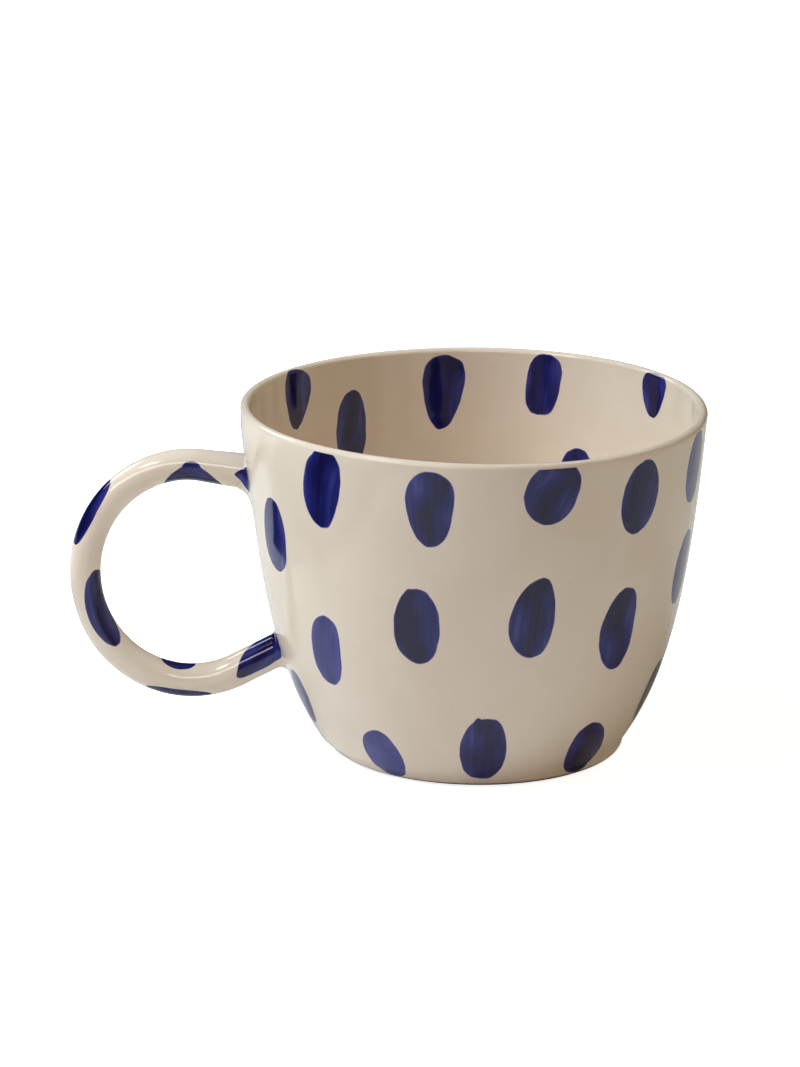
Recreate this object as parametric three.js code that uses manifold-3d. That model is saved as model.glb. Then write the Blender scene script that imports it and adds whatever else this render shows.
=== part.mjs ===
// A wheel-thrown stoneware mug with a round coil handle bent into a ring.
// Millimetres, +Z up. The origin is on the cup's axis, on the plane the mug stands on.
// The handle points along -X.
import * as THREE from "three";
import { mergeVertices } from "three/addons/utils/BufferGeometryUtils.js";
import Module from "manifold-3d";

// Cup: heights are from the resting plane, radii from the axis.
const HEIGHT = 88;
const RIM_R = 57.4;
const LIP_R = 1.2; // half the thickness of the rounded lip
const FOOT_FLAT_R = 34.2; // outer edge of the flat ring that the mug stands on
const FOOT_EDGE_R = 37.8; // widest point of the foot's rounded edge
const FOOT_EDGE_Z = 2.5;
const PINCH_R = 38.3; // the wall springs from the foot here
const PINCH_Z = 3.8;
const FOOT_RING_INNER_R = 27;
const RECESS = 0.8; // how far the base panel is trimmed up inside the foot ring
const RECESS_SLOPE = 1.2; // run of the sloped step between foot ring and base panel
const FLOOR_Z = 6.6; // inside floor
const FLOOR_R = 20; // radius of the floor's flat middle

// Points that pull the curves of the wall, as [radius, height].
const OUTSIDE_LOW = [51.2, 23.4];
const OUTSIDE_HIGH = [54.1, 50];
const INSIDE_HIGH = [50.4, 50];
const INSIDE_LOW = [47.6, 25];
const BOWL_EDGE = [36, 11.5]; // where the inside wall turns into the floor
const BOWL_CORNER = [30.6, FLOOR_Z];

// Handle: the coil's centre line is a ring, with a straight run from it to the wall at each end.
const COIL_R = 4.15;
const RING_X = 70.1; // from the cup's axis to the ring's centre
const RING_Z = 43.7;
const RING_HALF_WIDTH = 26.2;
const RING_HALF_HEIGHT = 27.8;
const UPPER_LEAVE_DEG = 97.5; // where the centre line leaves the ring, counted from straight outwards
const LOWER_LEAVE_DEG = -116;
const UPPER_WALL_X = 52; // how near the axis each straight run is carried before it is cut to the wall
const LOWER_WALL_X = 43;
const GAP = 0.3; // left between touching pieces

// Slip joints: the fillet of clay slip round each end of the coil.
const FILLET_LENGTH = 3; // along the coil
const FILLET_FLARE = 3; // out over the wall
const FILLET_EDGE = 0.7; // thickness where it ends on the coil
const FILLET_HOLLOW = 0.5; // how near the wall its concave curve is pulled
const FILLET_ROOT = 6; // carried this far into the wall before it is cut to it
const FILLET_SPREAD = 3; // how much it widens on the way
const FILLET_BITE = 1; // carried this far into the coil before it is cut to it

// Smoothness.
const CUP_SEGMENTS = 64;
const CURVE_STEPS = 7;
const COIL_SIDES = 16;
const COIL_STEPS = 46;
const RING_POINTS = 24;
const FILLET_SEGMENTS = 28;
const MEET_STEP = 0.1;
const MEET_CURVE_STEPS = 120;

const wasm = await Module();
wasm.setup();

function toSolid(geometry) {
  const bare = geometry.clone();
  bare.deleteAttribute("normal");
  bare.deleteAttribute("uv");
  const merged = mergeVertices(bare, 1e-4);
  return new wasm.Manifold(
    new wasm.Mesh({
      numProp: 3,
      vertProperties: new Float32Array(merged.attributes.position.array),
      triVerts: new Uint32Array(merged.index.array),
    }),
  );
}

function toGeometry(solid) {
  const mesh = solid.getMesh();
  const indexed = new THREE.BufferGeometry();
  indexed.setAttribute("position", new THREE.BufferAttribute(mesh.vertProperties, 3));
  indexed.setIndex(new THREE.BufferAttribute(mesh.triVerts, 1));
  const geometry = indexed.toNonIndexed();
  geometry.computeVertexNormals();
  return geometry;
}

// A profile of radius and height turned round the Z axis.
function turned(profile) {
  return new THREE.LatheGeometry(profile.getPoints(CURVE_STEPS), CUP_SEGMENTS).rotateX(Math.PI / 2);
}

// The outside of the foot edge and the wall, from the resting plane up to the lip.
// A clearance above 0 moves it outwards by that much.
function drawOutside(path, clearance) {
  const [lowR, lowZ] = OUTSIDE_LOW;
  const [highR, highZ] = OUTSIDE_HIGH;
  const edgeR = FOOT_EDGE_R + clearance;
  path.quadraticCurveTo(edgeR, 0, edgeR, FOOT_EDGE_Z);
  path.lineTo(PINCH_R + clearance, PINCH_Z);
  path.bezierCurveTo(
    lowR + clearance,
    lowZ,
    highR + clearance,
    highZ,
    RIM_R + clearance,
    HEIGHT - LIP_R,
  );
}

function makeCupBody() {
  const profile = new THREE.Path();
  profile.moveTo(0, RECESS);
  profile.lineTo(FOOT_RING_INNER_R - RECESS_SLOPE, RECESS);
  profile.lineTo(FOOT_RING_INNER_R, 0);
  profile.lineTo(FOOT_FLAT_R, 0);
  drawOutside(profile, 0);
  profile.absarc(RIM_R - LIP_R, HEIGHT - LIP_R, LIP_R, 0, Math.PI, false);
  profile.bezierCurveTo(...INSIDE_HIGH, ...INSIDE_LOW, ...BOWL_EDGE);
  profile.quadraticCurveTo(...BOWL_CORNER, FLOOR_R, FLOOR_Z);
  profile.lineTo(0, FLOOR_Z);
  return turned(profile);
}

// The space that the cup fills or encloses, with the gap added. It cuts the handle's ends to the wall.
function makeCupEnvelope() {
  const profile = new THREE.Path();
  profile.moveTo(0, 0);
  profile.lineTo(FOOT_FLAT_R, 0);
  drawOutside(profile, GAP);
  profile.lineTo(0, HEIGHT - LIP_R);
  return toSolid(turned(profile));
}

// A point of the ring. The angle is 0 straight outwards and 90 at the top.
function ringPoint(degrees) {
  const angle = THREE.MathUtils.degToRad(degrees);
  const x = -RING_X - RING_HALF_WIDTH * Math.cos(angle);
  return new THREE.Vector3(x, 0, RING_Z + RING_HALF_HEIGHT * Math.sin(angle));
}

// The straight run that leaves the ring at an angle and goes towards the axis, as far as wallX.
function runToWall(degrees, wallX) {
  const angle = THREE.MathUtils.degToRad(degrees);
  const start = ringPoint(degrees);
  const alongX = RING_HALF_WIDTH * Math.sin(angle);
  const alongZ = RING_HALF_HEIGHT * Math.cos(angle);
  const towardsWall = new THREE.Vector3(alongX, 0, alongZ).multiplyScalar(Math.sign(alongX)).normalize();
  const length = (-wallX - start.x) / towardsWall.x;
  return { start, towardsWall, end: start.clone().addScaledVector(towardsWall, length) };
}

function centreLine(upperRun, lowerRun) {
  const points = [upperRun.end, upperRun.end.clone().lerp(upperRun.start, 0.5)];
  for (let i = 0; i <= RING_POINTS; i += 1) {
    points.push(ringPoint(THREE.MathUtils.lerp(UPPER_LEAVE_DEG, LOWER_LEAVE_DEG, i / RING_POINTS)));
  }
  points.push(lowerRun.end.clone().lerp(lowerRun.start, 0.5), lowerRun.end);
  return new THREE.CatmullRomCurve3(points);
}

function makeCoil(route, radius) {
  const section = new THREE.Shape();
  section.absarc(0, 0, radius, 0, 2 * Math.PI, false);
  const options = { steps: COIL_STEPS, curveSegments: COIL_SIDES / 2, extrudePath: route };
  return toSolid(new THREE.ExtrudeGeometry(section, options));
}

// Where a straight run reaches the outside of the wall.
function meetWall(run) {
  const outline = new THREE.Path();
  outline.moveTo(FOOT_FLAT_R, 0);
  drawOutside(outline, GAP);
  const points = outline.getPoints(MEET_CURVE_STEPS);
  const reach = run.start.distanceTo(run.end);
  const point = run.start.clone();
  for (let travelled = 0; travelled < reach; travelled += MEET_STEP) {
    point.copy(run.start).addScaledVector(run.towardsWall, travelled);
    const wallR = points.find((p) => p.y >= point.z).x;
    if (-point.x <= wallR) break;
  }
  return point;
}

// The collar of slip where a straight run meets the wall: concave outside, hugging the coil inside.
function makeSlipJoint(run, cupEnvelope, coilWithGap) {
  const bore = COIL_R + GAP;
  const profile = new THREE.Path();
  profile.moveTo(bore - FILLET_BITE, -FILLET_ROOT);
  profile.lineTo(bore + FILLET_FLARE + FILLET_SPREAD, -FILLET_ROOT);
  profile.lineTo(bore + FILLET_FLARE, 0);
  profile.quadraticCurveTo(bore + FILLET_EDGE, FILLET_HOLLOW, bore + FILLET_EDGE, FILLET_LENGTH);
  profile.lineTo(bore - FILLET_BITE, FILLET_LENGTH);
  profile.closePath();
  const collar = new THREE.LatheGeometry(profile.getPoints(CURVE_STEPS), FILLET_SEGMENTS);
  const outwards = run.towardsWall.clone().negate();
  const latheAxis = new THREE.Vector3(0, 1, 0);
  collar.applyQuaternion(new THREE.Quaternion().setFromUnitVectors(latheAxis, outwards));
  collar.translate(...meetWall(run));
  return toSolid(collar).subtract(cupEnvelope).subtract(coilWithGap);
}

const upperRun = runToWall(UPPER_LEAVE_DEG, UPPER_WALL_X);
const lowerRun = runToWall(LOWER_LEAVE_DEG, LOWER_WALL_X);
const route = centreLine(upperRun, lowerRun);
const cupEnvelope = makeCupEnvelope();
const coilWithGap = makeCoil(route, COIL_R + GAP);

const mug = new THREE.Group();

function addPiece(name, geometry) {
  const glaze = new THREE.MeshStandardMaterial({ color: 0xcfc4b5, roughness: 0.12, metalness: 0 });
  const mesh = new THREE.Mesh(geometry, glaze);
  mesh.name = name;
  mug.add(mesh);
}

addPiece("cup_body", makeCupBody());
addPiece("handle_coil", toGeometry(makeCoil(route, COIL_R).subtract(cupEnvelope)));
addPiece("upper_slip_joint", toGeometry(makeSlipJoint(upperRun, cupEnvelope, coilWithGap)));
addPiece("lower_slip_joint", toGeometry(makeSlipJoint(lowerRun, cupEnvelope, coilWithGap)));

export default mug;
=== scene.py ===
"""A wheel-thrown stoneware mug with a ring-shaped coil handle.

It is cream under a clear glaze, with brushed cobalt dabs.

Lengths below are in millimetres and angles in degrees, unless a comment says otherwise. The mug stands
on z = 0, its axis is the Z axis and the handle points along -X. An azimuth is counted round the Z axis
from -Y towards +X, so the handle is at -90.
"""

import math

import bpy
import numpy as np
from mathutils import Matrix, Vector


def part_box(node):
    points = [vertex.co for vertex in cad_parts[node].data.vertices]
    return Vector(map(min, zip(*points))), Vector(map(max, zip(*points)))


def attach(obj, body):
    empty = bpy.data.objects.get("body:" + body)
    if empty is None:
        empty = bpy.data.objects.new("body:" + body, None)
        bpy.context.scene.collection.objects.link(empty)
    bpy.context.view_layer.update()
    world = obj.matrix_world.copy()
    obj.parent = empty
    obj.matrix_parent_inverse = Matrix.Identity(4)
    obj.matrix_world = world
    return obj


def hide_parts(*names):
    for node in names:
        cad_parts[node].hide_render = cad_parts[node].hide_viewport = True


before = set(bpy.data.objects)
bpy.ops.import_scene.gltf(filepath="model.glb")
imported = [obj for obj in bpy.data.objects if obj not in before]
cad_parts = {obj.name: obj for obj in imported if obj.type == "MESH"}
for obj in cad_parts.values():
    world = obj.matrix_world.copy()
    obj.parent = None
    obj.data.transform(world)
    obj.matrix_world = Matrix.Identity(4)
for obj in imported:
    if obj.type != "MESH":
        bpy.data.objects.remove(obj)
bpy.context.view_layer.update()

MM = 0.001
_, cup_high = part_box("cup_body")
coil_low, coil_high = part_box("handle_coil")

# ---------------------------------------------------------------- cup
HEIGHT = cup_high.z / MM
RIM_R = cup_high.x / MM
LIP_R = 1.2  # half the thickness of the rounded lip
FOOT_FLAT_R = 34.2  # outer edge of the flat ring that the mug stands on
FOOT_EDGE_R = 37.8  # widest point of the foot's rounded edge
FOOT_EDGE_Z = 2.5
SPRING_R = 38.3  # the wall springs from the foot here
SPRING_Z = 3.8
FOOT_RING_INNER_R = 27.0
RECESS = 0.8  # how far the base is trimmed up inside the foot ring
RECESS_SLOPE = 1.2  # run of the sloped step up to it
FLOOR_Z = 6.6  # inside floor
FLOOR_R = 20.0

# Points that pull the curves of the wall and the bowl, as (radius, height).
OUTSIDE_LOW = (51.2, 23.4)
OUTSIDE_HIGH = (54.1, 50.0)
INSIDE_HIGH = (50.4, 50.0)
INSIDE_LOW = (47.6, 25.0)
BOWL_EDGE = (36.0, 11.5)
BOWL_CORNER = (30.6, FLOOR_Z)

# Hand-made unevenness.
# The foot was trimmed more on the handle's side. Each row is the radius of the foot's edge, of its flat
# ring and of the wall's spring.
HANDLE_SIDE_FOOT = (36.7, 32.8, 38.7)
HANDLE_SIDE_EDGE_Z = 2.0
HANDLE_SIDE_CORNER = (35.5, 0.6)  # where the curve between flat and foot edge is pulled to
FAR_SIDE_FOOT = (37.4, 34.7, 38.1)
SIDE_FALLOFF = 1.5  # how quickly each side's foot changes into the plain one in between
SHOULDER = 0.55  # swelling of the wall under the rim, over the handle
SHOULDER_WIDTH = math.radians(40)
SHOULDER_RISE = (62, 80)  # it grows between these heights
SHOULDER_EASE_Z = 82  # above this height it eases
SHOULDER_EASE = 0.6  # by this share at the rim
OVAL = 0.10  # the rim is this much out of round each way
OVAL_TURN = 25.0  # azimuth of its long axis
# The rim is highest near the handle. These lower it: everywhere, away from the handle, at the back, in two
# opposite quarters, and in three places.
RIM_DROP = 0.80
RIM_TILT = 0.68
RIM_BACK = 0.14
RIM_WARP = 0.32
RIM_WAVE = 0.10
RIM_WAVE_PHASE = 1.9
RIM_WAVE_START = 40.0  # the wall below this height stays level
THROWING_RIDGE = 0.035  # height of the ridges that the potter's fingers left inside
THROWING_PITCH = 6.5
THROWING_START = (10, 18)  # the ridges inside grow between these heights
THROWING_END = (78, 86)  # and fade between these
LIP_ROWS = 8  # rows of the inside, next to the lip, that were wiped smooth

# Steps of the cup's mesh: round it, and along each stretch of its profile from the base's centre.
CUP_SEGMENTS = 432
BASE_STEPS = 8
RECESS_STEPS = 3
FLAT_STEPS = 5
EDGE_STEPS = 9
SPRING_STEPS = 3
OUTSIDE_STEPS = 78
LIP_STEPS = 16
INSIDE_STEPS = 66
BOWL_STEPS = 12
FLOOR_STEPS = 8

# ---------------------------------------------------------------- handle
COIL_R = coil_high.y / MM
RING_HALF_WIDTH = 26.2
RING_HALF_HEIGHT = (coil_high.z - coil_low.z) / MM / 2 - COIL_R
RING_X = coil_low.x / MM + COIL_R + RING_HALF_WIDTH  # the ring's centre
RING_Z = (coil_high.z + coil_low.z) / MM / 2
UPPER_LEAVE = 97.5  # where the centre line leaves the ring, counted from straight outwards
LOWER_LEAVE = -116.0
# The coil was rolled a little thinner along its upper half: place along the centre line and radius there.
COIL_THICKNESS = [(-11, 4.45), (-5, 4.2), (3, 3.86), (52, 3.86), (64, 4.0), (85, 4.15), (112, 4.15)]
# There its centre line also lies further out from the ring's centre: place and how much.
COIL_OUTWARD = [(-5, 0.0), (4, 0.27), (24, 0.27), (48, 0.0)]
TABLE_BLUR = 4  # how far along the line a step in these two tables is rounded, each way
TABLE_SAMPLES = 9
COIL_SIDES = 80
COIL_STEP = 0.6
RING_SAMPLES = 3000
BURY = 1.0  # depth of the coil's ends in the wall
FEWEST_RUN_STEPS = 6  # from an end of the ring to the wall
LONGEST_REACH = 40.0  # no end of the ring is further from the wall
REACH_HALVINGS = 40

# Slip joints: the fillet of slip where the coil meets the wall.
COLLAR_STEPS = 12
COLLAR_DEPTH = 0.5  # how deep its hidden side lies in the coil and the wall
SEAT = 0.02  # its edges end this far under the surface that they die into
SLOPE_SPAN = 1.0  # height over which the wall's slope is taken
CORNER_PULL = 0.85  # how far its hollow curve is pulled into the corner, from 0 to 1
# Reach along the coil and over the wall, each as its least value and how much is added where it is fullest.
UPPER_ALONG = (0.9, 2.2)
UPPER_OVER = (1.0, 4.2)
UPPER_FALLOFF = 1.5
LOWER_ALONG = (1.6, 1.0)
LOWER_OVER = (2.2, 1.6)

# ---------------------------------------------------------------- paint
LIP_LINE = HEIGHT - 1.8  # outside dabs stop at the lip
NO_NUB = (0.0, 0.0, 0.0)
TAPER_LIMITS = (0.3, 2.0)
FAR_OFF = 3.0  # places this many half widths or lengths from a dab's middle count as unpainted
NO_DAB = (9.0, 9.0, 0.0, 0.0)  # paint coordinates of an unpainted place
CUP_SEED = 7
HANDLE_SEED = 23
SEED_RANGE = (1, 90)


def dab(turn, place, half_width, half_length, tilt, taper, fullness, bend, wash_and_reflection=0.0, nub=NO_NUB):
    """One brushed dab as a row of numbers.

    turn is its azimuth and place its height. On the handle they are the angle round the coil (0 is outwards
    from the ring, -90 faces -Y, 180 is the finger side) and the distance along the centre line from the
    ring's upper end. tilt leans its top towards +turn, a positive taper makes it wider at the top, a
    fullness of 2 is an ellipse, bend bows its ends towards +turn, and wash thins the cobalt, partly as thin
    paint and partly as a painted reflection of the bright floor and backdrop in the glaze. nub is a small
    swelling of its outline: where it is across and along, in half widths and half lengths, and its size.
    """
    return (turn, place, half_width, half_length, tilt, taper, fullness, bend, wash_and_reflection, *nub)


# A row's ninth number, the wash, pales its dab: partly thin paint, partly a painted reflection of the bright
# floor and backdrop in the glaze.
OUTSIDE_DABS = [
    # just under the lip
    dab(-40.9, 77.4, 5.7, 10.15, 12, 0.10, 2.25, 1.0, 0.12, nub=(-0.42, 0.86, 0.20)),
    dab(-11.4, 76.15, 5.75, 9.75, 1, 0.20, 2.30, 0.4),
    dab(18.6, 80.6, 6.7, 8.3, 25, 0.00, 2.15, 0.6),
    dab(44.3, 76.1, 6.2, 9.7, 8, 0.00, 2.10, 0.0),
    dab(70.8, 77.6, 5.6, 9.4, 4, 0.05, 2.20, 0.2, 0.25),
    dab(101.0, 75.2, 5.8, 9.6, -3, 0.12, 2.20, 0.3),
    dab(131.0, 77.2, 5.5, 9.0, 6, 0.05, 2.15, -0.4),
    dab(160.5, 74.6, 5.9, 9.7, -5, 0.10, 2.25, 0.5),
    dab(-170.0, 76.4, 5.5, 9.2, 3, -0.06, 2.10, 0.2),
    dab(-141.0, 75.0, 5.7, 9.9, 7, 0.15, 2.25, 0.6),
    dab(-112.0, 77.5, 5.4, 8.4, -4, 0.08, 2.20, 0.0),
    dab(-87.0, 79.2, 5.0, 8.4, 4, 0.10, 2.10, 0.0, 0.6),
    # round the middle
    dab(-63.2, 60.9, 5.9, 9.7, 8, -0.10, 2.15, 0.3, 0.30),
    dab(-45.5, 34.9, 5.1, 9.6, 9, -0.03, 2.30, 0.6, 0.62),
    dab(-15.8, 45.6, 5.75, 10.1, 2, -0.05, 2.10, 0.2, nub=(-0.30, 0.86, 0.12)),
    dab(15.2, 47.8, 5.65, 10.8, 7, -0.11, 1.95, 0.8),
    dab(42.1, 41.3, 5.6, 11.05, 2, -0.04, 2.10, 1.3),
    dab(71.6, 50.6, 5.5, 9.8, 5, 0.00, 2.15, 0.4, 0.3),
    dab(102.0, 43.5, 5.6, 10.2, -4, 0.06, 2.15, -0.5),
    dab(132.0, 47.8, 5.4, 9.8, 5, -0.06, 2.10, 0.6),
    dab(161.0, 42.2, 5.7, 10.1, 2, 0.05, 2.20, 0.3),
    dab(-169.0, 46.5, 5.5, 9.7, -6, -0.08, 2.10, -0.4),
    dab(-140.0, 41.8, 5.6, 10.3, 6, 0.08, 2.20, 0.5),
    dab(-117.0, 52.0, 5.4, 9.6, -5, 0.04, 2.15, 0.3),
    # round the foot
    dab(-69.6, 16.6, 5.0, 7.6, 7, 0.00, 2.10, 0.3, 0.3),
    dab(-33.1, 7.8, 5.3, 7.8, -5, -0.02, 2.15, 0.4, 0.72),
    dab(2.7, 11.6, 5.7, 10.3, 2, 0.00, 2.25, 0.3, nub=(-0.36, 0.86, 0.16)),
    dab(41.3, 8.4, 5.8, 8.5, -12, -0.12, 2.20, -0.4),
    dab(72.4, 17.4, 5.4, 8.8, -4, 0.00, 2.15, 0.0),
    dab(107.0, 10.4, 5.5, 9.4, 4, 0.05, 2.15, 0.4),
    dab(142.0, 12.2, 5.3, 9.0, -6, -0.06, 2.10, -0.3),
    dab(177.0, 9.0, 5.6, 9.2, 3, 0.08, 2.20, 0.4),
    dab(-148.0, 12.0, 5.4, 9.3, 5, 0.00, 2.10, 0.3),
    dab(-113.0, 8.6, 5.5, 8.8, -3, 0.06, 2.15, 0.0),
]
INSIDE_DABS = [
    dab(-125.5, 80.3, 4.7, 7.7, -13, 0.42, 2.50, 0.4),
    dab(-144.6, 69.9, 4.5, 9.9, -8, -0.12, 2.30, -0.2),
    dab(-172.2, 76.8, 5.05, 9.6, -6, 0.30, 2.50, -0.4),
    dab(160.3, 79.4, 4.5, 8.1, -7, 0.06, 2.80, 0.0),
    dab(123.2, 82.3, 4.4, 5.7, 0, 0.42, 2.90, -0.3),
    dab(148.3, 54.6, 5.2, 9.4, 3, 0.05, 2.15, 0.2),
    dab(80.0, 76.0, 5.1, 8.8, 5, 0.15, 2.20, 0.3),
    dab(54.0, 78.4, 4.8, 8.2, -5, 0.20, 2.25, 0.0),
    dab(29.0, 75.4, 5.2, 9.0, 3, 0.10, 2.20, -0.3),
    dab(4.0, 77.6, 4.9, 8.4, -6, 0.25, 2.30, 0.4),
    dab(-28.0, 76.2, 5.1, 8.8, 4, 0.10, 2.20, 0.2),
    dab(-60.0, 78.8, 4.7, 7.8, -3, 0.20, 2.20, 0.0),
    dab(-92.0, 76.4, 5.0, 8.6, 6, 0.15, 2.25, 0.3),
    dab(-160.0, 44.6, 5.0, 9.0, 4, 0.00, 2.15, 0.3),
    dab(-118.0, 52.6, 5.1, 9.2, -4, 0.06, 2.15, 0.3),
    dab(-84.0, 46.4, 5.0, 9.4, 5, -0.05, 2.10, 0.4),
    dab(-50.0, 51.2, 4.9, 8.8, -3, 0.05, 2.15, -0.3),
    dab(-15.0, 46.8, 5.2, 9.2, 6, 0.00, 2.10, 0.3),
    dab(20.0, 50.4, 5.0, 9.0, -5, 0.08, 2.20, 0.2),
    dab(54.0, 47.0, 5.1, 9.4, 3, -0.04, 2.10, 0.4),
    dab(86.0, 51.0, 4.9, 8.8, -6, 0.05, 2.15, 0.0),
    dab(116.0, 46.2, 5.0, 9.2, 5, 0.00, 2.15, 0.3),
    dab(-178.0, 22.0, 4.8, 8.4, 5, 0.00, 2.10, 0.2),
    dab(-138.0, 24.2, 4.9, 8.6, -4, 0.05, 2.15, 0.3),
    dab(-96.0, 21.4, 4.7, 8.2, 3, 0.00, 2.15, 0.0),
    dab(-54.0, 24.6, 4.9, 8.6, -5, 0.04, 2.10, -0.3),
    dab(-12.0, 22.2, 4.8, 8.4, 4, 0.00, 2.15, 0.3),
    dab(30.0, 24.0, 4.9, 8.6, -3, 0.06, 2.15, 0.0),
    dab(72.0, 21.6, 4.7, 8.4, 6, 0.00, 2.10, 0.3),
    dab(112.0, 24.4, 4.9, 8.6, -4, 0.04, 2.15, 0.2),
    dab(150.0, 21.8, 4.8, 8.2, 3, 0.00, 2.15, 0.0),
]
HANDLE_DABS = [
    dab(-89.0, -11.5, 2.6, 3.9, 0, -0.50, 1.60, 0.0, 0.2),
    dab(-150.0, 3.0, 5.7, 7.9, 0, 0.00, 1.38, 0.0, nub=(0.80, 0.0, 0.30)),
    dab(-22.0, 30.3, 3.4, 8.4, -4, 0.00, 2.10, 0.0),
    dab(-128.0, 55.0, 3.9, 10.8, 4, 0.00, 2.20, 0.0),
    dab(-38.0, 85.2, 2.3, 7.4, 0, 0.00, 2.10, 0.0),
    dab(-178.0, 84.2, 2.6, 5.2, 0, 0.00, 2.10, 0.0),
    dab(-120.0, 107.4, 4.1, 8.2, -21, 0.48, 2.20, 0.0),
    dab(70.0, 12.0, 4.4, 7.8, 5, 0.00, 2.15, 0.3),
    dab(110.0, 34.0, 4.2, 8.0, -4, 0.00, 2.15, 0.0),
    dab(60.0, 57.0, 4.4, 8.4, 3, 0.00, 2.15, 0.3),
    dab(105.0, 79.0, 4.0, 7.6, -5, 0.00, 2.15, 0.0),
    dab(62.0, 98.0, 4.2, 7.4, 4, 0.00, 2.15, 0.0),
]

# ---------------------------------------------------------------- colours (linear)
CREAM = (0.80, 0.71, 0.585)
CREAM_PALE = (0.825, 0.745, 0.63)
CREAM_WARM = (0.765, 0.67, 0.54)
INSIDE_WARM_BOUNCE = (1.04, 1.01, 0.985)  # painted warm bounced light: the inside is tinted warmer for the light that bounces round the hollow
COBALT_THIN = (0.045, 0.052, 0.26)
COBALT = (0.012, 0.015, 0.128)
COBALT_DEEP = (0.005, 0.004, 0.042)
# The foot's bare clay: dark brown partly as its own colour and partly as a painted contact shadow along the
# base edge.
BARE_CLAY_AND_SHADOW = (0.16, 0.105, 0.07)
DARK_BARE_CLAY_AND_SHADOW = (0.09, 0.06, 0.045)
BARE_HEIGHT = 0.8  # the foot is wiped free of glaze below this height
BARE_FROM_R = FOOT_RING_INNER_R - 1  # and outside this radius
WARM_BOUNCE_ROWS = 12  # rows of the inside over which its painted warm bounced light begins

# ---------------------------------------------------------------- camera and light
CAMERA_AZIMUTH = 0.0
CAMERA_ELEVATION = 16.3
CAMERA_DISTANCE = 1400.0
CAMERA_TARGET = (-18.3, 0.0, 53.9)
CAMERA_CLIP = (50.0, 20000.0)
FRAME_HEIGHT = 264.1  # the height of the view at the target
SENSOR = 36.0
LIGHT_DISTANCE = 900.0
LIGHT_AIM_Z = 45.0
# Soft boxes: name, azimuth, elevation, width, height and power.
KEY = ("key", -80, 51, 620, 620, 9.6)  # it lights the mug, and the glaze doesn't mirror it
KEY_COLOUR = (0.865, 0.94, 1.0)
MIRRORED_LIGHTS = [  # the glaze mirrors these, and they light nothing
    ("veil", -80, 51, 620, 620, 1.3),
    ("lamp", -60, 53, 260, 130, 1.3),
    ("back_card", -126, 33, 300, 300, 1.9),
    ("window_bar", -30, 32, 1100, 120, 3.0),
]
# Broad soft light from the walls of the studio: azimuth, elevation and colour.
RIGHT_WALL = (90, 25, (0.59, 0.555, 0.42))
FRONT_WALL = (0, 25, (0.20, 0.065, 0.02))
WALL_SPREAD = 2.0  # a higher power makes each wall's light narrower


def smooth(low, high, value):
    t = np.clip((value - low) / (high - low), 0.0, 1.0)
    return t * t * (3 - 2 * t)


def curve_points(controls, count):
    """count points of a Bezier curve of any degree, without its first point."""
    t = np.linspace(0, 1, count + 1)[1:, None]
    points = [np.array(c, float)[None, :] * np.ones_like(t) for c in controls]
    while len(points) > 1:
        points = [a * (1 - t) + b * t for a, b in zip(points, points[1:])]
    return points[0]


def cup_profile(foot_edge_r, foot_flat_r, spring_r, foot_edge_z=FOOT_EDGE_Z, corner=None):
    """Radius and height from the base's centre, up the outside, over the lip, and down the inside."""
    lip_centre = (RIM_R - LIP_R, HEIGHT - LIP_R)
    turn = np.linspace(0, math.pi, LIP_STEPS + 1)[1:]
    lip = np.stack([lip_centre[0] + LIP_R * np.cos(turn), lip_centre[1] + LIP_R * np.sin(turn)], 1)
    recess_edge = (FOOT_RING_INNER_R - RECESS_SLOPE, RECESS)
    foot_inner = (FOOT_RING_INNER_R, 0)
    foot_flat = (foot_flat_r, 0)
    foot_edge = (foot_edge_r, foot_edge_z)
    spring = (spring_r, SPRING_Z)
    lip_outside = (RIM_R, HEIGHT - LIP_R)
    lip_inside = (RIM_R - 2 * LIP_R, HEIGHT - LIP_R)
    floor_edge = (FLOOR_R, FLOOR_Z)
    parts = [
        np.array([[0.0, RECESS]]),
        curve_points([(0, RECESS), recess_edge], BASE_STEPS),
        curve_points([recess_edge, foot_inner], RECESS_STEPS),
        curve_points([foot_inner, foot_flat], FLAT_STEPS),
        curve_points([foot_flat, corner or (foot_edge_r, 0), foot_edge], EDGE_STEPS),
        curve_points([foot_edge, spring], SPRING_STEPS),
        curve_points([spring, OUTSIDE_LOW, OUTSIDE_HIGH, lip_outside], OUTSIDE_STEPS),
        lip,
        curve_points([lip_inside, INSIDE_HIGH, INSIDE_LOW, BOWL_EDGE], INSIDE_STEPS),
        curve_points([BOWL_EDGE, BOWL_CORNER, floor_edge], BOWL_STEPS),
        curve_points([floor_edge, (0, FLOOR_Z)], FLOOR_STEPS),
    ]
    return np.vstack(parts)


PROFILE = cup_profile(FOOT_EDGE_R, FOOT_FLAT_R, SPRING_R)
PROFILE_HANDLE_SIDE = cup_profile(*HANDLE_SIDE_FOOT, HANDLE_SIDE_EDGE_Z, HANDLE_SIDE_CORNER)
PROFILE_FAR_SIDE = cup_profile(*FAR_SIDE_FOOT)
PROFILE_ARC = np.concatenate([[0], np.cumsum(np.hypot(*np.diff(PROFILE, axis=0).T))])
LIP_ROW = int(np.argmax(PROFILE[:, 1]))


def rim_lift(azimuth):
    """How far the rim is above HEIGHT, by azimuth in radians. It is negative nearly all round."""
    level = -RIM_DROP - RIM_TILT * np.sin(azimuth) + RIM_BACK * np.cos(azimuth)
    return level - RIM_WARP * np.sin(2 * azimuth) + RIM_WAVE * np.sin(3 * azimuth + RIM_WAVE_PHASE)


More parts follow.
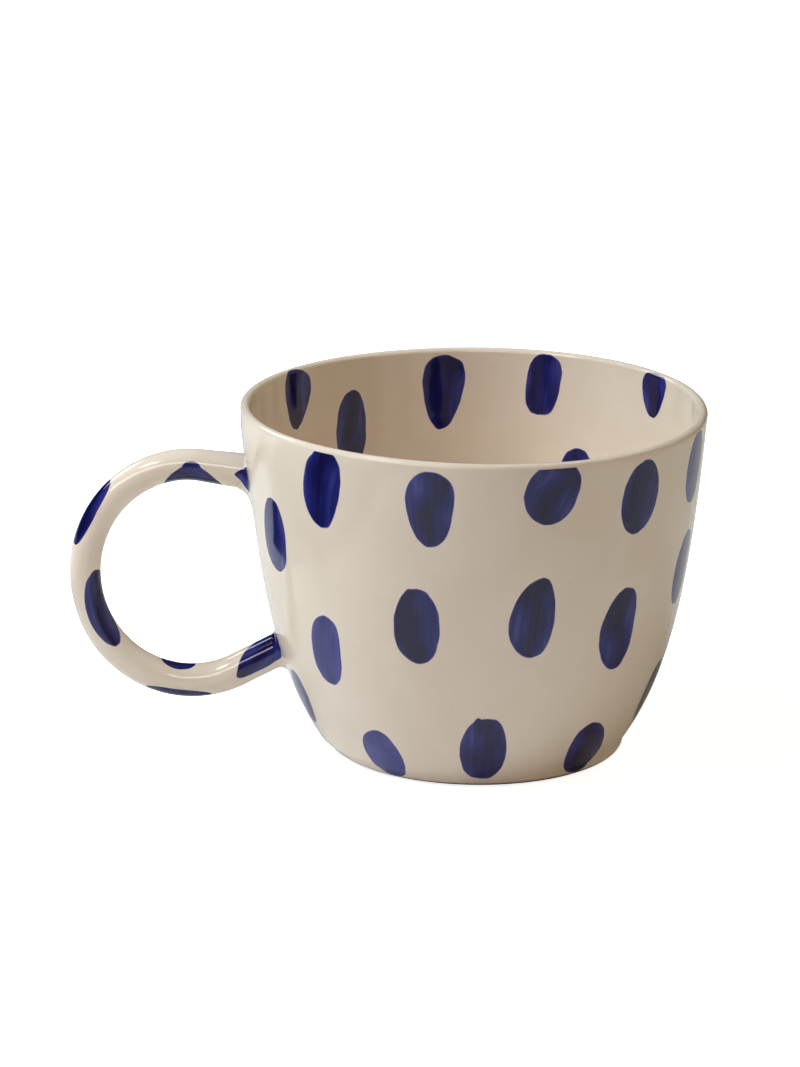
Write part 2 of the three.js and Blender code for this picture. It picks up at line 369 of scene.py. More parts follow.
def bent_place(radius, height, azimuth):
    """A point of the turned cup, moved as on a hand-made pot. Azimuth in radians."""
    lift = np.clip(height / HEIGHT, 0, 1)
    radius = radius + OVAL * lift * np.cos(2 * (azimuth - math.radians(OVAL_TURN))) * (radius > 1)
    over_handle = np.exp(-((wrapped(azimuth + math.pi / 2) / SHOULDER_WIDTH) ** 2))
    swell = smooth(*SHOULDER_RISE, height) * (1 - SHOULDER_EASE * smooth(SHOULDER_EASE_Z, HEIGHT, height))
    radius = radius + SHOULDER * over_handle * swell * (radius > 1)
    z = height + rim_lift(azimuth) * smooth(RIM_WAVE_START, HEIGHT, height)
    return np.stack([radius * np.sin(azimuth), -radius * np.cos(azimuth), z], -1)


def wall_radius(height):
    """Radius of the cup's plain outside at a height."""
    outside = PROFILE[: LIP_ROW + 1]
    rising = outside[outside[:, 1] > 0]
    return np.interp(height, rising[:, 1], rising[:, 0])


def cup_vertices():
    """Rings of vertices from the base to the inside floor, and the two middle ones."""
    azimuth = np.arange(CUP_SEGMENTS) * 2 * math.pi / CUP_SEGMENTS
    handle_side = (0.5 - 0.5 * np.sin(azimuth))[None, :, None] ** SIDE_FALLOFF
    far_side = (0.5 + 0.5 * np.sin(azimuth))[None, :, None] ** SIDE_FALLOFF
    plain = 1 - handle_side - far_side
    rows = PROFILE[1:-1, None, :] * plain
    rows = rows + PROFILE_HANDLE_SIDE[1:-1, None, :] * handle_side
    rows = rows + PROFILE_FAR_SIDE[1:-1, None, :] * far_side
    radius, height = rows[..., 0], rows[..., 1]
    inside = (np.arange(1, len(PROFILE) - 1) > LIP_ROW + LIP_ROWS)[:, None]
    ridge = np.sin(height / THROWING_PITCH * 2 * math.pi + azimuth[None, :])
    fade = smooth(*THROWING_START, height) * (1 - smooth(*THROWING_END, height))
    radius = radius + inside * THROWING_RIDGE * ridge * fade
    ring = bent_place(radius, height, azimuth[None, :])
    ends = bent_place(np.zeros(2), PROFILE[[0, -1], 1], np.zeros(2))
    return np.vstack([ring.reshape(-1, 3), ends])


def band(lower, upper, sides):
    """Quads between two rings, each given by the number of its first vertex."""
    neighbours = [(j, (j + 1) % sides) for j in range(sides)]
    return [(lower + j, lower + k, upper + k, upper + j) for j, k in neighbours]


def tube_faces(count, sides):
    """Faces of a tube of count rings, closed by a fan at each end.

    The two middle vertices of the fans come after those of the rings.
    """
    faces = []
    for i in range(count - 1):
        faces += band(i * sides, (i + 1) * sides, sides)
    first_middle, last_middle = count * sides, count * sides + 1
    last_ring = (count - 1) * sides
    faces += [(first_middle, (j + 1) % sides, j) for j in range(sides)]
    faces += [(last_middle, last_ring + j, last_ring + (j + 1) % sides) for j in range(sides)]
    return faces


def fan_corners(sides):
    """Paint coordinates for the corners of a tube's two fans, which are unpainted."""
    return np.tile(NO_DAB, (2 * sides * 3, 1))


def new_mesh(name, vertices, faces):
    mesh = bpy.data.meshes.new(name)
    mesh.from_pydata([tuple(v) for v in np.asarray(vertices) * MM], [], faces)
    mesh.polygons.foreach_set("use_smooth", [True] * len(mesh.polygons))
    mesh.update()
    obj = bpy.data.objects.new(name, mesh)
    bpy.context.scene.collection.objects.link(obj)
    return obj


def dab_coordinates(across, along, dab_rows):
    """Places in dabs. A dab's edge is at length 1 from its middle. dab_rows gives the dab of each place."""
    half_width, half_length, tilt, taper, fullness, bend = (dab_rows[..., i] for i in range(2, 8))
    nub_p, nub_q, nub_size = (dab_rows[..., i] for i in range(9, 12))
    tilt = np.radians(tilt)
    q = (across * np.sin(tilt) + along * np.cos(tilt)) / half_length
    side = across * np.cos(tilt) - along * np.sin(tilt) - bend * (q * q - 0.5)
    p = side / (half_width * np.clip(1 + taper * q, *TAPER_LIMITS))
    plain = np.maximum(np.hypot(p, q), 1e-6)
    full = (np.abs(p) ** fullness + np.abs(q) ** fullness) ** (1 / fullness)
    nub = 1 + np.hypot(p - nub_p, q - nub_q) - nub_size
    full = np.where(nub_size > 0, np.minimum(full, nub), full)
    return p * full / plain, q * full / plain


def paint_attribute(obj, corners):
    """corners holds (p, q, seed, wash) for each face corner, in order. The wash is partly a painted
    reflection.
    """
    corners = np.asarray(corners, np.float32)
    attribute = obj.data.attributes.new("dab", "FLOAT_VECTOR", "CORNER")
    attribute.data.foreach_set("vector", corners[:, :3].ravel())
    attribute = obj.data.attributes.new("wash_and_reflection", "FLOAT", "CORNER")
    attribute.data.foreach_set("value", np.ascontiguousarray(corners[:, 3]))


def nearest_dab(across, along, dabs):
    """For each place, the index of the dab whose middle is nearest in that dab's own size."""
    distance = np.hypot(across / dabs[:, 2], along / dabs[:, 3])
    best = np.argmin(distance, axis=-1)
    return best, np.take_along_axis(distance, best[..., None], -1)[..., 0]


def wrapped(angle):
    """An angle in radians as the same angle between -pi and pi."""
    return (angle + math.pi) % (2 * math.pi) - math.pi


def dab_corners(angle, place, scale, dabs, seeds):
    """Paint coordinates for the four corners of quads, as (p, q, seed, wash), where the wash is partly a
    painted reflection.

    angle, place and scale have a row of four for each quad: the angle in radians round the axis, the place
    along the surface, and the radius that turns an angle into a length.
    """
    middle_angle, middle_place, middle_scale = (a.mean(axis=1) for a in (angle, place, scale))
    turn = wrapped(middle_angle[:, None] - np.radians(dabs[:, 0])[None, :])
    away = middle_place[:, None] - dabs[:, 1][None, :]
    best, distance = nearest_dab(turn * middle_scale[:, None], away, dabs)
    chosen = dabs[best]
    across = wrapped(angle - np.radians(chosen[:, 0])[:, None]) * scale
    along = place - chosen[:, 1][:, None]
    p, q = dab_coordinates(across, along, chosen[:, None, :])
    seed = np.repeat(seeds[best][:, None], 4, 1)
    wash_and_reflection = np.repeat(chosen[:, 8:9], 4, 1)
    corners = np.stack([p, q, seed, wash_and_reflection], -1)
    corners[distance > FAR_OFF] = NO_DAB
    return corners


def arc_at(height, inside):
    """Distance along the profile at a height of the outside or the inside."""
    rows = PROFILE[LIP_ROW:] if inside else PROFILE[: LIP_ROW + 1]
    arcs = PROFILE_ARC[LIP_ROW:] if inside else PROFILE_ARC[: LIP_ROW + 1]
    if inside:
        return np.interp(height, rows[::-1, 1], arcs[::-1])
    rising = rows[:, 1] > 0
    return np.interp(height, rows[rising, 1], arcs[rising])


def paint_cup(obj, rows):
    quads = np.array([(i, j) for i in range(rows - 1) for j in range(CUP_SEGMENTS)])
    row = quads[:, :1] + np.array([[0, 0, 1, 1]]) + 1
    column = quads[:, 1:] + np.array([[0, 1, 1, 0]])
    angle = column * 2 * math.pi / CUP_SEGMENTS
    arc, radius = PROFILE_ARC[row], PROFILE[row, 0]
    outside = row.max(axis=1) <= LIP_ROW
    rng = np.random.default_rng(CUP_SEED)
    corners = np.empty(row.shape + (4,))
    for inside, dabs in ((False, OUTSIDE_DABS), (True, INSIDE_DABS)):
        pick = outside != inside
        table = np.array(dabs, float)
        table[:, 1] = arc_at(table[:, 1], inside)
        seeds = rng.uniform(*SEED_RANGE, len(table))
        sign = -1.0 if inside else 1.0
        table[:, 1] *= sign
        corners[pick] = dab_corners(angle[pick], sign * arc[pick], radius[pick], table, seeds)
    lip_arc = arc_at(LIP_LINE, False)
    past_lip = outside & (arc.mean(axis=1) > lip_arc)
    corners[past_lip] = NO_DAB
    paint_attribute(obj, np.vstack([corners.reshape(-1, 4), fan_corners(CUP_SEGMENTS)]))


def point_attribute(obj, name, values):
    attribute = obj.data.attributes.new(name, "FLOAT", "POINT")
    attribute.data.foreach_set("value", np.asarray(values, np.float32))


def make_cup():
    rows = len(PROFILE) - 2
    obj = new_mesh("mug_cup", cup_vertices(), tube_faces(rows, CUP_SEGMENTS))
    paint_cup(obj, rows)
    radius, height = PROFILE[1:-1].T
    under = np.arange(1, len(PROFILE) - 1) < LIP_ROW // 2
    bare = np.where(under & (height < BARE_HEIGHT) & (radius > BARE_FROM_R), 1.0, 0.0)
    point_attribute(obj, "bare", np.concatenate([np.repeat(bare, CUP_SEGMENTS), [0.0, 0.0]]))
    # Painted warm bounced light on the inside, fading in below the lip.
    inside = np.clip((np.arange(rows) - LIP_ROW - LIP_ROWS) / WARM_BOUNCE_ROWS, 0, 1)
    point_attribute(obj, "inside", np.concatenate([np.repeat(inside, CUP_SEGMENTS), [0.0, 1.0]]))
    return obj


# ---------------------------------------------------------------- handle
def ring_place(angle):
    """Places on the ring's centre line, as (x, z). An angle is 0 straight outwards, in radians."""
    x = RING_X - RING_HALF_WIDTH * np.cos(angle)
    return np.stack([x, RING_Z + RING_HALF_HEIGHT * np.sin(angle)], -1)


def ring_line():
    """Places along the ring with their distance from its upper end and their directions, as (x, z)."""
    angle = np.radians(np.linspace(UPPER_LEAVE, LOWER_LEAVE, RING_SAMPLES))
    points = ring_place(angle)
    length = np.concatenate([[0], np.cumsum(np.hypot(*np.diff(points, axis=0).T))])
    wanted = np.linspace(0, length[-1], int(length[-1] / COIL_STEP) + 1)
    angle = np.interp(wanted, length, angle)
    points = ring_place(angle)
    heading = np.stack([-RING_HALF_WIDTH * np.sin(angle), -RING_HALF_HEIGHT * np.cos(angle)], -1)
    heading /= np.linalg.norm(heading, axis=1)[:, None]
    return points, wanted, heading


ALPHA = np.arange(COIL_SIDES) * 2 * math.pi / COIL_SIDES  # angles round the coil


def section(point, heading, radius):
    """Points round the coil at one place. heading points along the centre line, away from its upper end."""
    outwards = np.array([heading[1], -heading[0]])
    centre = np.array([RING_X, RING_Z])
    if np.dot(point - centre, outwards) < 0:
        outwards = -outwards
    x = point[0] + radius * np.cos(ALPHA) * outwards[0]
    z = point[1] + radius * np.cos(ALPHA) * outwards[1]
    return np.stack([x, radius * np.sin(ALPHA), z], -1)


def depth_in_wall(points):
    """How far points are inside the cup's outer wall, in millimetres, along the radius."""
    return wall_radius(points[..., 2]) - np.hypot(points[..., 0], points[..., 1])


def reach_wall(start, direction, depth):
    """Where lines from start along direction get that deep in the wall. Returns the distances."""
    near, far = np.zeros(len(start)), np.full(len(start), LONGEST_REACH)
    for _ in range(REACH_HALVINGS):
        middle = (near + far) / 2
        deep = depth_in_wall(start + middle[:, None] * direction) > depth
        far = np.where(deep, middle, far)
        near = np.where(deep, near, middle)
    return (near + far) / 2


def coil_end(points, headings, which):
    """The section where the ring ends, its direction to the wall, and the sign of travel along the line."""
    i = 0 if which == "upper" else -1
    sign = -1.0 if which == "upper" else 1.0
    start = section(points[i], headings[i], COIL_R)
    direction = np.array([sign * headings[i][0], 0.0, sign * headings[i][1]])
    return start, direction, sign


def soft_table(place, table):
    """Looks a value up in rows of (place, value), with rounded steps between them."""
    places, values = zip(*table)
    spread = np.linspace(-TABLE_BLUR, TABLE_BLUR, TABLE_SAMPLES)
    return np.mean([np.interp(place + d, places, values) for d in spread], axis=0)


def coil_radius(place):
    return soft_table(place, COIL_THICKNESS)


def run_to_wall(points, travelled, headings, which):
    """Sections of the coil from one end of the ring into the wall, and the places of their points."""
    start, direction, sign = coil_end(points, headings, which)
    reach = reach_wall(start, direction, BURY)
    steps = max(FEWEST_RUN_STEPS, int(reach.mean() / COIL_STEP))
    middle = start.mean(axis=0)
    base = 0.0 if which == "upper" else travelled[-1]
    rings, places = [], []
    for k in range(1, steps + 1):
        run = reach * k / steps
        thickness = coil_radius(base + sign * run)[:, None] / COIL_R
        rings.append(middle + (start - middle) * thickness + run[:, None] * direction)
        places.append(base + sign * run)
    return rings, places


def make_coil():
    points, travelled, headings = ring_line()
    centre = np.array([RING_X, RING_Z])
    away = points - centre
    away = away / np.linalg.norm(away, axis=1)[:, None]
    points = points + away * soft_table(travelled, COIL_OUTWARD)[:, None]
    rings = [section(p, h, coil_radius(s)) for p, h, s in zip(points, headings, travelled)]
    places = [np.full(COIL_SIDES, s) for s in travelled]
    upper_rings, upper_places = run_to_wall(points, travelled, headings, "upper")
    lower_rings, lower_places = run_to_wall(points, travelled, headings, "lower")
    rings = upper_rings[::-1] + rings + lower_rings
    places = upper_places[::-1] + places + lower_places
    vertices = np.vstack(rings + [rings[0].mean(axis=0)[None], rings[-1].mean(axis=0)[None]])
    obj = new_mesh("handle_coil_ring", vertices, tube_faces(len(rings), COIL_SIDES))
    paint_coil(obj, np.array(places))
    point_attribute(obj, "bare", np.zeros(len(vertices)))
    return obj


HANDLE_SEEDS = np.random.default_rng(HANDLE_SEED).uniform(*SEED_RANGE, len(HANDLE_DABS))


def quad_corners(count):
    """For each quad of count strips round the coil, the ring and the step round it at its four corners."""
    ring = np.repeat(np.arange(count), COIL_SIDES)[:, None] + np.array([[0, 0, 1, 1]])
    step = np.tile(np.arange(COIL_SIDES), count)[:, None] + np.array([[0, 1, 1, 0]])
    return ring, step


def handle_corners(step, place):
    """Paint coordinates for quads on the handle."""
    angle = step * 2 * math.pi / COIL_SIDES
    return dab_corners(angle, place, np.full(angle.shape, COIL_R), np.array(HANDLE_DABS), HANDLE_SEEDS)


def paint_coil(obj, places):
    ring, step = quad_corners(len(places) - 1)
    corners = handle_corners(step, places[ring, step % COIL_SIDES])
    paint_attribute(obj, np.vstack([corners.reshape(-1, 4), fan_corners(COIL_SIDES)]))


def on_wall(points, depth):
    """Moves points along the radius onto the cup's outside, less depth."""
    radius = np.hypot(points[:, 0], points[:, 1])
    factor = (wall_radius(points[:, 2]) - depth) / radius
    return np.stack([points[:, 0] * factor, points[:, 1] * factor, points[:, 2]], -1)


def make_joint(name, which, along_coil, over_wall):
    """The fillet of slip round one end of the coil.

    along_coil and over_wall give its reach for each angle round the coil.
    """
    points, travelled, headings = ring_line()
    start, direction, sign = coil_end(points, headings, which)
    middle = start.mean(axis=0)
    ring_end = points[0] if which == "upper" else points[-1]
    base = 0.0 if which == "upper" else travelled[-1]
    reach = reach_wall(start, direction, 0.0)
    start = middle + (start - middle) * (coil_radius(base + sign * reach) / COIL_R)[:, None]
    reach = reach_wall(start, direction, 0.0)
    corner = start + reach[:, None] * direction
    spread = start - np.array([ring_end[0], 0, ring_end[1]])
    spread /= np.linalg.norm(spread, axis=1)[:, None]
    normal = wall_normal(corner)
    tangent = spread - (spread * normal).sum(1)[:, None] * normal
    tangent /= np.linalg.norm(tangent, axis=1)[:, None]
    coil_edge = corner - along_coil[:, None] * direction
    wall_edge = on_wall(corner + over_wall[:, None] * tangent, 0.0)
    pull = (coil_edge + wall_edge) / 2 * (1 - CORNER_PULL) + corner * CORNER_PULL
    rings, places = [], []
    for t in np.linspace(0, 1, COLLAR_STEPS + 1):
        rings.append(coil_edge * (1 - t) ** 2 + pull * 2 * t * (1 - t) + wall_edge * t**2)
        places.append(base + sign * (reach - along_coil * (1 - t) ** 2 + over_wall * t**2))
    rings[0] = rings[0] - SEAT * spread
    rings[-1] = on_wall(rings[-1], SEAT)
    hidden = [
        on_wall(wall_edge, COLLAR_DEPTH),
        on_wall(corner - COLLAR_DEPTH * spread, COLLAR_DEPTH),
        coil_edge - COLLAR_DEPTH * spread,
    ]
    rings += hidden
    places += [places[-1]] * len(hidden)
    count = len(rings)
    faces = []
    for i in range(count):
        faces += band(i * COIL_SIDES, (i + 1) % count * COIL_SIDES, COIL_SIDES)
    if which == "upper":
        faces = [quad[::-1] for quad in faces]
    obj = new_mesh(name, np.vstack(rings), faces)
    paint_joint(obj, np.array(places + [places[0]]), which)
    point_attribute(obj, "bare", np.zeros(count * COIL_SIDES))
    return obj


def wall_normal(points):
    """Outward normal of the cup's outside at points on it."""
    height = points[:, 2]
    slope = (wall_radius(height + SLOPE_SPAN / 2) - wall_radius(height - SLOPE_SPAN / 2)) / SLOPE_SPAN
    radial = np.stack([points[:, 0], points[:, 1], np.zeros(len(points))], -1)
    radial /= np.linalg.norm(radial, axis=1)[:, None]
    normal = radial - slope[:, None] * np.array([0.0, 0.0, 1.0])
    return normal / np.linalg.norm(normal, axis=1)[:, None]


def paint_joint(obj, places, which):
    """Its face that shows carries on the coil's dabs, and its hidden faces are unpainted."""
    ring, step = quad_corners(len(places) - 1)
    place = places[ring, step % COIL_SIDES]
    if which == "upper":
        step, place = step[:, ::-1], place[:, ::-1]
    corners = handle_corners(step, place)
    outer = (ring.max(axis=1) <= COLLAR_STEPS)[:, None, None]
    corners = np.where(outer, corners, np.array(NO_DAB))
    paint_attribute(obj, corners.reshape(-1, 4))


def upper_reach():
    """The upper joint is full below the coil and almost sharp above it. ALPHA 0 is on top there."""
    below = (0.5 - 0.5 * np.cos(ALPHA)) ** UPPER_FALLOFF
    return UPPER_ALONG[0] + UPPER_ALONG[1] * below, UPPER_OVER[0] + UPPER_OVER[1] * below


def lower_reach():
    """The lower joint is even, with a little more slip under the coil. ALPHA 0 is underneath there."""
    under = 0.5 + 0.5 * np.cos(ALPHA)
    return LOWER_ALONG[0] + LOWER_ALONG[1] * under, LOWER_OVER[0] + LOWER_OVER[1] * under


# ---------------------------------------------------------------- materials
class Nodes:
    """Short calls for building one material's node tree."""

    def __init__(self, tree):
        self.tree = tree

    def add(self, kind, **settings):
        node = self.tree.nodes.new(kind)
        for key, value in settings.items():
            setattr(node, key, value)
        return node

    def put(self, value, socket):
        """Links a socket's value, or sets a plain one."""
        if hasattr(value, "links"):
            self.tree.links.new(value, socket)
        else:
            socket.default_value = value

    def math(self, operation, a, b=0.0, clamp=False):
        node = self.add("ShaderNodeMath", operation=operation, use_clamp=clamp)
        self.put(a, node.inputs[0])
        self.put(b, node.inputs[1])
        return node.outputs[0]

    def attribute(self, name):
        return self.add("ShaderNodeAttribute", attribute_name=name, attribute_type="GEOMETRY").outputs

    def step(self, value, low, high, to_low=0.0, to_high=1.0):
        node = self.add("ShaderNodeMapRange", interpolation_type="SMOOTHSTEP")
        self.put(value, node.inputs["Value"])
        node.inputs["From Min"].default_value = low
        node.inputs["From Max"].default_value = high
        node.inputs["To Min"].default_value = to_low
        node.inputs["To Max"].default_value = to_high
        return node.outputs["Result"]

    def noise(self, vector, scale, detail=2.0, roughness=0.5):
        node = self.add("ShaderNodeTexNoise")
        self.put(vector, node.inputs["Vector"])
        node.inputs["Scale"].default_value = scale
        node.inputs["Detail"].default_value = detail
        node.inputs["Roughness"].default_value = roughness
        return node.outputs["Fac"]

    def stretch(self, vector, scale):
        node = self.add("ShaderNodeMapping")
        self.put(vector, node.inputs["Vector"])
        node.inputs["Scale"].default_value = scale
        return node.outputs["Vector"]

    def mix(self, factor, a, b):
        node = self.add("ShaderNodeMix", data_type="RGBA")
        self.put(factor, node.inputs["Factor"])
        self.put((*a, 1.0) if isinstance(a, tuple) else a, node.inputs["A"])
        self.put((*b, 1.0) if isinstance(b, tuple) else b, node.inputs["B"])
        return node.outputs["Result"]


# Scales are noise cells per metre. Each band is the range of the noise over which it takes effect.
DRIFT_SCALE = 22.0
DRIFT_BAND = (0.35, 0.65)
CLOUD_SCALE = 60.0
CLOUD_BAND = (0.45, 0.75)
CLOUD_STRENGTH = 0.5
SPECK_SCALE = 1500.0
SPECK_BAND = (0.72, 0.80)
SPECK_STRENGTH = 0.12


def cream_colour(n, place):
    """The clay under the clear glaze: soft drifting tone, with fine specks, and a painted warm bounced light
    inside.
    """
    drift = n.noise(place, DRIFT_SCALE, detail=3.0)
    base = n.mix(n.step(drift, *DRIFT_BAND), CREAM_WARM, CREAM)
    cloud = n.noise(place, CLOUD_SCALE)
    base = n.mix(n.step(cloud, *CLOUD_BAND, 0.0, CLOUD_STRENGTH), base, CREAM_PALE)
    speck = n.noise(place, SPECK_SCALE, detail=1.0)
    base = n.mix(n.step(speck, *SPECK_BAND, 0.0, SPECK_STRENGTH), base, BARE_CLAY_AND_SHADOW)
    # Painted warm light inside, as bounced round the hollow.
    warm_bounce = n.add("ShaderNodeMix", data_type="RGBA", blend_type="MULTIPLY")
    n.put(n.attribute("inside")["Fac"], warm_bounce.inputs["Factor"])
    n.put(base, warm_bounce.inputs["A"])
    warm_bounce.inputs["B"].default_value = (*INSIDE_WARM_BOUNCE, 1.0)
    return warm_bounce.outputs["Result"]


# A dab's edge is at 1 from its middle, and its patterns below are stretched along the brush stroke.
EDGE_SCALE = 1.5
EDGE_WOBBLE = 0.14
EDGE_BAND = (0.985, 1.015)
CORE_SCALE = 1.1
CORE_WANDER = 1.5
CORE_STRETCH = (0.5, 0.9, 1.0)
CORE_BAND = (0.12, 0.85)
POOL_SCALE = 1.1
POOL_STRETCH = (1.1, 0.7, 1.0)
POOL_BAND = (0.30, 0.70)
STREAK_SCALE = 1.3
STREAK_STRETCH = (4.0, 0.5, 1.0)
# Thickness of the cobalt, from 0 to 1: everywhere, and what the core, the pools and the streaks add.
PLAIN_THICK = 0.20
CORE_THICK = 0.46
POOL_THICK = 0.26
STREAK_THICK = 0.60
THIN_RIM_BAND = (0.92, 1.0)
THIN_RIM = 0.32  # share of the thickness that is left at the edge
THIN_BAND = (0.0, 0.45)
DEEP_BAND = (0.35, 0.95)


def dab_masks(n):
    """Returns where there is cobalt and how thick it is, from 0 at its thinnest to 1 at its thickest."""
    place = n.attribute("dab")["Vector"]
    split = n.add("ShaderNodeSeparateXYZ")
    n.put(place, split.inputs[0])
    p, q, _ = split.outputs
    square = n.math("ADD", n.math("MULTIPLY", p, p), n.math("MULTIPLY", q, q))
    distance = n.math("POWER", square, 0.5)
    ragged = n.math("MULTIPLY", n.math("SUBTRACT", n.noise(place, EDGE_SCALE, detail=1.5), 0.5), EDGE_WOBBLE)
    edge = n.math("ADD", distance, ragged)
    cover = n.step(edge, *EDGE_BAND, 1.0, 0.0)
    wander = n.math("SUBTRACT", n.noise(n.stretch(place, CORE_STRETCH), CORE_SCALE, detail=0.0), 0.5)
    side = n.math("ABSOLUTE", n.math("ADD", p, n.math("MULTIPLY", wander, CORE_WANDER)))
    core = n.step(side, *CORE_BAND, CORE_THICK, 0.0)
    pools = n.noise(n.stretch(place, POOL_STRETCH), POOL_SCALE, detail=0.5)
    pools = n.step(pools, *POOL_BAND, 0.0, POOL_THICK)
    streaks = n.noise(n.stretch(place, STREAK_STRETCH), STREAK_SCALE, detail=1.0)
    streaks = n.math("MULTIPLY", n.math("SUBTRACT", streaks, 0.5), STREAK_THICK)
    thick = n.math("ADD", n.math("ADD", core, pools), n.math("ADD", streaks, PLAIN_THICK), clamp=True)
    thick = n.math("MULTIPLY", thick, n.step(edge, *THIN_RIM_BAND, 1.0, THIN_RIM))
    # The wash thins the cobalt, partly as thin paint and partly as a painted reflection of the bright floor
    # in the glaze.
    thick = n.math("MULTIPLY", thick, n.math("SUBTRACT", 1.0, n.attribute("wash_and_reflection")["Fac"]))
    return cover, thick


def cobalt_colour(n, thick):
    light = n.mix(n.step(thick, *THIN_BAND), COBALT_THIN, COBALT)
    return n.mix(n.step(thick, *DEEP_BAND), light, COBALT_DEEP)


WAVE_SCALE = 30.0
WAVE_STRENGTH = 0.35
WAVE_DEPTH = 0.4
GLOSS_SCALE = 40.0
GLOSS_BAND = (0.3, 0.7)
GLAZE_ROUGHNESS = (0.045, 0.075)
BARE_ROUGHNESS = 0.7  # added where the clay is bare
GRAIN_SCALE = 900.0
GLAZE_IOR = 1.5


def glaze_bump(n, place):
    """The slow waviness of a clear glaze that ran a little in the kiln."""
    waves = n.noise(place, WAVE_SCALE, roughness=0.45)
    bump = n.add("ShaderNodeBump")
    bump.inputs["Strength"].default_value = WAVE_STRENGTH
    bump.inputs["Distance"].default_value = WAVE_DEPTH * MM
    n.put(waves, bump.inputs["Height"])
    return bump.outputs["Normal"]


def glazed_stoneware():
    """The one material of the mug: painted and glazed clay, bare where it stands, where the bare clay's dark
    colour also holds a painted contact shadow.
    """
    material = bpy.data.materials.new("glazed_stoneware_painted")
    material.use_nodes = True
    n = Nodes(material.node_tree)
    shader = material.node_tree.nodes["Principled BSDF"]
    place = n.add("ShaderNodeTexCoord").outputs["Object"]
    cover, thick = dab_masks(n)
    colour = n.mix(cover, cream_colour(n, place), cobalt_colour(n, thick))
    bare = n.attribute("bare")["Fac"]
    # The bare foot's dark colour is partly a painted contact shadow along the base edge.
    clay = n.mix(n.noise(place, GRAIN_SCALE, detail=3.0), DARK_BARE_CLAY_AND_SHADOW, BARE_CLAY_AND_SHADOW)
    n.put(n.mix(bare, colour, clay), shader.inputs["Base Color"])
    gloss = n.step(n.noise(place, GLOSS_SCALE), *GLOSS_BAND, *GLAZE_ROUGHNESS)
    n.put(n.math("ADD", gloss, n.math("MULTIPLY", bare, BARE_ROUGHNESS)), shader.inputs["Roughness"])
    n.put(glaze_bump(n, place), shader.inputs["Normal"])
    shader.inputs["IOR"].default_value = GLAZE_IOR
    return material


# ---------------------------------------------------------------- stage
FLOOR_REACH = 6000.0
FLOOR_DROP = 0.05  # keeps the floor from touching the foot
FLOOR_COLOUR = (0.92, 0.92, 0.92)
FLOOR_LIFT = 0.85  # brightens the white floor for the camera only, as an overexposed sweep
FLAG_X = (-900, -152)
FLAG_Y = (-330, 80)
FLAG_Z = 0.6
FLAG_COLOUR = (0.02, 0.02, 0.022)


def flat_rectangle(name, x, y, z):
    """A level rectangle, given its range along X and Y and its height."""
    vertices = [(x[0], y[0], z), (x[1], y[0], z), (x[1], y[1], z), (x[0], y[1], z)]
    return new_mesh(name, vertices, [(0, 1, 2, 3)])


def matt_material(name, colour):
    """A matt material with no gloss, and its shader."""
    material = bpy.data.materials.new(name)
    material.use_nodes = True
    shader = material.node_tree.nodes["Principled BSDF"]
    shader.inputs["Base Color"].default_value = (*colour, 1)
    shader.inputs["Roughness"].default_value = 1.0
    shader.inputs["Specular IOR Level"].default_value = 0.0
    return material, shader


def make_floor():
    reach = (-FLOOR_REACH, FLOOR_REACH)
    floor = flat_rectangle("stage_floor", reach, reach, 0)
    floor.location.z = -FLOOR_DROP * MM
    material, shader = matt_material("stage_white", FLOOR_COLOUR)
    shader.inputs["Emission Color"].default_value = (1.0, 1.0, 1.0, 1.0)
    n = Nodes(material.node_tree)
    seen = n.add("ShaderNodeLightPath").outputs["Is Camera Ray"]
    n.put(n.math("MULTIPLY", seen, FLOOR_LIFT), shader.inputs["Emission Strength"])
    floor.data.materials.append(material)


def make_flag():
    """A dark flag lying on the left of the set. Only the glaze mirrors it."""
    flag = flat_rectangle("stage_flag", FLAG_X, FLAG_Y, FLAG_Z)
    material, _ = matt_material("stage_black", FLAG_COLOUR)
    flag.data.materials.append(material)
    flag.visible_camera = False
    flag.visible_diffuse = False
    flag.visible_shadow = False
    flag.visible_transmission = False


def aim(obj, target):
    """Turns a lamp or the camera towards a place in metres."""
    direction = Vector(target) - obj.location
    obj.rotation_mode = "QUATERNION"
    obj.rotation_quaternion = direction.to_track_quat("-Z", "Y")


def direction_of(azimuth, elevation):
    """Unit vector from the mug. Azimuth 0 is the camera's side and a negative one is on the left."""
    a, e = math.radians(azimuth), math.radians(elevation)
    return Vector((math.sin(a) * math.cos(e), -math.cos(a) * math.cos(e), math.sin(e)))


def soft_box(name, azimuth, elevation, width, height, power):
    """A rectangular lamp aimed at the middle of the mug. Its power is in watts."""
    data = bpy.data.lights.new(name, "AREA")
    data.shape = "RECTANGLE"
    data.size = width * MM
    data.size_y = height * MM
    data.energy = power
    light = bpy.data.objects.new(name, data)
    bpy.context.scene.collection.objects.link(light)
    middle = Vector((0, 0, LIGHT_AIM_Z)) * MM
    light.location = middle + direction_of(azimuth, elevation) * LIGHT_DISTANCE * MM
    aim(light, middle)
    light.visible_camera = False
    return light


def wall_light(n, direction, azimuth, elevation, colour):
    """One broad lobe of light round a direction, as a colour socket."""
    along = n.add("ShaderNodeVectorMath", operation="DOT_PRODUCT")
    n.put(direction, along.inputs[0])
    along.inputs[1].default_value = direction_of(azimuth, elevation)
    lobe = n.math("POWER", n.math("MAXIMUM", along.outputs["Value"], 0.0), WALL_SPREAD)
    return n.mix(lobe, (0.0, 0.0, 0.0), colour)


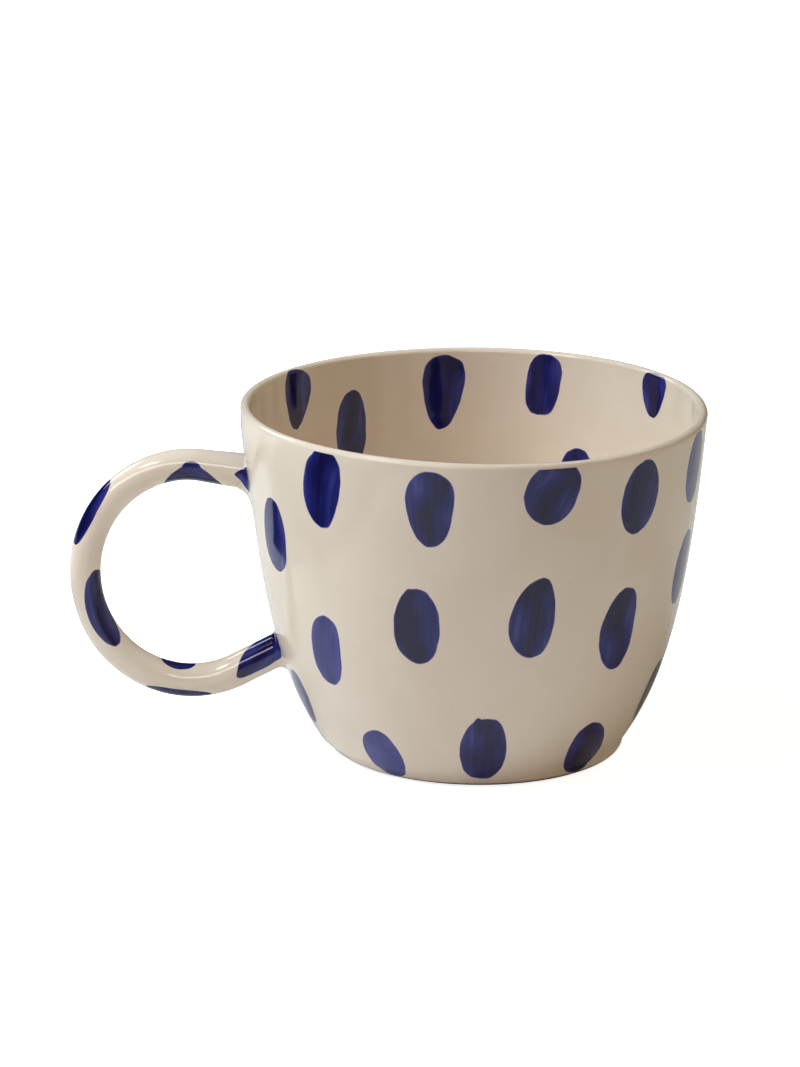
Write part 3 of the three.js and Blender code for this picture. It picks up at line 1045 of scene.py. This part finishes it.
def make_world():
    """Light from the studio's walls. The camera sees plain white instead."""
    world = bpy.data.worlds.new("studio")
    bpy.context.scene.world = world
    world.use_nodes = True
    tree = world.node_tree
    n = Nodes(tree)
    tree.nodes.clear()
    direction = n.add("ShaderNodeTexCoord").outputs["Generated"]
    right = wall_light(n, direction, *RIGHT_WALL)
    front = wall_light(n, direction, *FRONT_WALL)
    total = n.add("ShaderNodeMix", data_type="RGBA", blend_type="ADD")
    total.inputs["Factor"].default_value = 1.0
    n.put(right, total.inputs["A"])
    n.put(front, total.inputs["B"])
    seen = n.add("ShaderNodeLightPath").outputs["Is Camera Ray"]
    background = n.add("ShaderNodeBackground")
    n.put(n.mix(seen, total.outputs["Result"], (1.0, 1.0, 1.0)), background.inputs["Color"])
    n.put(background.outputs[0], n.add("ShaderNodeOutputWorld").inputs["Surface"])


def make_lights():
    key = soft_box(*KEY)
    key.data.color = KEY_COLOUR
    key.visible_glossy = False
    for row in MIRRORED_LIGHTS:
        soft_box(*row).visible_diffuse = False


def make_camera():
    data = bpy.data.cameras.new("view")
    data.sensor_width = SENSOR
    data.lens = CAMERA_DISTANCE * SENSOR / FRAME_HEIGHT
    data.clip_start, data.clip_end = (limit * MM for limit in CAMERA_CLIP)
    camera = bpy.data.objects.new("view", data)
    bpy.context.scene.collection.objects.link(camera)
    target = Vector(CAMERA_TARGET) * MM
    camera.location = target + direction_of(CAMERA_AZIMUTH, CAMERA_ELEVATION) * CAMERA_DISTANCE * MM
    aim(camera, target)
    bpy.context.scene.camera = camera


def finish_piece(obj, material, node):
    """Gives a piece its material and lets it stand for its CAD node."""
    obj.data.materials.append(material)
    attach(obj, "root")
    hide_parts(node)


def build():
    material = glazed_stoneware()
    finish_piece(make_cup(), material, "cup_body")
    finish_piece(make_coil(), material, "handle_coil")
    finish_piece(make_joint("handle_joint_upper", "upper", *upper_reach()), material, "upper_slip_joint")
    finish_piece(make_joint("handle_joint_lower", "lower", *lower_reach()), material, "lower_slip_joint")
    make_floor()
    make_flag()
    make_world()
    make_lights()
    make_camera()
    bpy.context.scene.view_settings.view_transform = "Standard"


build()
